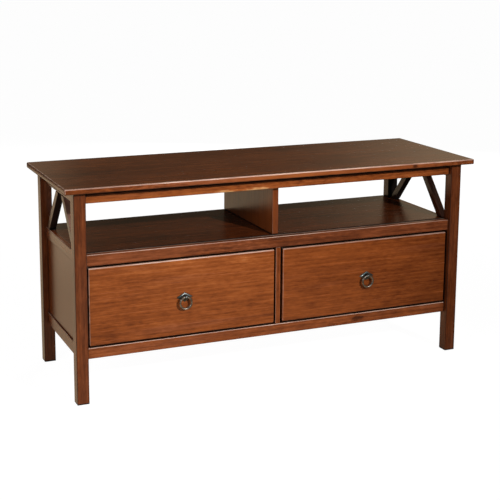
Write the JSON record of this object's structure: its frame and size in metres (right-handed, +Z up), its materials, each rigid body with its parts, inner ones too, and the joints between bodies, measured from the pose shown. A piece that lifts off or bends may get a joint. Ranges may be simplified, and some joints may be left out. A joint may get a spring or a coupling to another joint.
{
  "type": "tv stand",
  "caption": "Stained pine tv stand: overhanging top on square legs, open bays with sloping side braces, and inset drawers below with diamond-backed ring pulls.",
  "frame": {"origin": "on the floor under the middle of the top panel", "axes": "+X to the right along the width, +Y to the rear, +Z up; the drawers face -Y"},
  "size_m": [1.2, 0.415, 0.575],
  "materials": {
    "stained_pine": "satin lacquer over dark reddish-brown stain",
    "bare_pine": "sanded, unfinished",
    "plywood": "sanded, unfinished",
    "antique_metal": "antique dark bronze",
    "steel": "plain"
  },
  "bodies": {
    "cabinet": {"top_panel": "stained_pine", "front_left_leg": "stained_pine", "front_right_leg": "stained_pine", "rear_left_leg": "stained_pine", "rear_right_leg": "stained_pine", "front_top_rail": "stained_pine", "rear_top_rail": "stained_pine", "left_top_rail": "stained_pine", "right_top_rail": "stained_pine", "left_front_brace": "stained_pine", "left_rear_brace": "stained_pine", "right_front_brace": "stained_pine", "right_rear_brace": "stained_pine", "front_mid_rail": "stained_pine", "rear_mid_rail": "stained_pine", "left_mid_rail": "stained_pine", "right_mid_rail": "stained_pine", "shelf": "stained_pine", "upper_divider": "stained_pine", "left_side_panel": "stained_pine", "right_side_panel": "stained_pine", "back_panel": "stained_pine", "front_bottom_rail": "stained_pine", "rear_bottom_rail": "stained_pine", "left_bottom_rail": "stained_pine", "right_bottom_rail": "stained_pine", "bottom_panel": "stained_pine", "center_stile": "stained_pine", "center_partition": "bare_pine", "left_outer_runner": "bare_pine", "left_inner_runner": "bare_pine", "right_outer_runner": "bare_pine", "right_inner_runner": "bare_pine"},
    "left_drawer": {"left_drawer_front": "stained_pine", "left_drawer_left_side": "bare_pine", "left_drawer_right_side": "bare_pine", "left_drawer_back": "bare_pine", "left_drawer_bottom": "plywood", "left_pull_backplate": "antique_metal", "left_pull_eye_bolt": "antique_metal", "left_pull_nut": "steel"},
    "right_drawer": {"right_drawer_front": "stained_pine", "right_drawer_left_side": "bare_pine", "right_drawer_right_side": "bare_pine", "right_drawer_back": "bare_pine", "right_drawer_bottom": "plywood", "right_pull_backplate": "antique_metal", "right_pull_eye_bolt": "antique_metal", "right_pull_nut": "steel"},
    "left_ring": {"left_pull_ring": "antique_metal"},
    "right_ring": {"right_pull_ring": "antique_metal"}
  },
  "joints": [
    {"name": "left_drawer_slide", "type": "slide", "parent": "cabinet", "child": "left_drawer", "axis": [0, -1, 0], "range_m": [0, 0.22]},
    {"name": "right_drawer_slide", "type": "slide", "parent": "cabinet", "child": "right_drawer", "axis": [0, -1, 0], "range_m": [0, 0.22]},
    {"name": "left_ring_swing", "type": "hinge", "parent": "left_drawer", "child": "left_ring", "pos_m": [-0.27375, -0.1844, 0.25725], "axis": [-1, 0, 0], "range_deg": [-8, 165]},
    {"name": "right_ring_swing", "type": "hinge", "parent": "right_drawer", "child": "right_ring", "pos_m": [0.27375, -0.1844, 0.25725], "axis": [-1, 0, 0], "range_deg": [-8, 165]}
  ]
}
